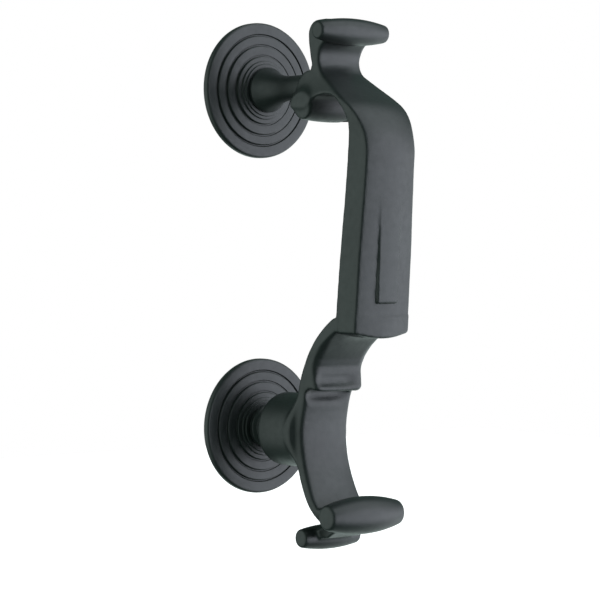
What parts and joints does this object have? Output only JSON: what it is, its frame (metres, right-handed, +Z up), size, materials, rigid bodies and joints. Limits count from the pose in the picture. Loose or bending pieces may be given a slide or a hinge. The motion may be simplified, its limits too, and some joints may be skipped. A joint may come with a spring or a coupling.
{
  "type": "door knocker",
  "caption": "S-scroll door knocker: a hinged cast handle with a drum striker, hung from a post on a stepped round rose above a matching strike rose.",
  "frame": {"origin": "upper fixing stud's axis at the plane of the door's face, which is the back of both roses", "axes": "+Z up the door, -Y out of the door towards the room, +X to the right for someone facing the door"},
  "size_m": [0.053, 0.1027, 0.2028],
  "materials": {
    "black_iron": "satin black paint over cast iron",
    "black_post": "satin black paint over cast iron",
    "black_rose": "satin black paint over cast iron",
    "zinc_steel": "dull zinc plate",
    "dark_steel": "plain, lightly oiled"
  },
  "bodies": {
    "door_side": {"upper_rose": "black_rose", "hinge_post": "black_post", "upper_fixing_stud": "zinc_steel", "upper_lock_nut": "zinc_steel", "lower_rose": "black_rose", "strike_stud": "black_post", "lower_fixing_stud": "zinc_steel", "lower_lock_nut": "zinc_steel"},
    "knocker": {"knocker_handle": "black_iron", "hinge_pin": "dark_steel", "pin_grub_screw": "dark_steel"}
  },
  "joints": [
    {"name": "knocker_swing", "type": "hinge", "parent": "door_side", "child": "knocker", "pos_m": [0, -0.045, 0], "axis": [-1, 0, 0], "range_deg": [0, 60]}
  ]
}
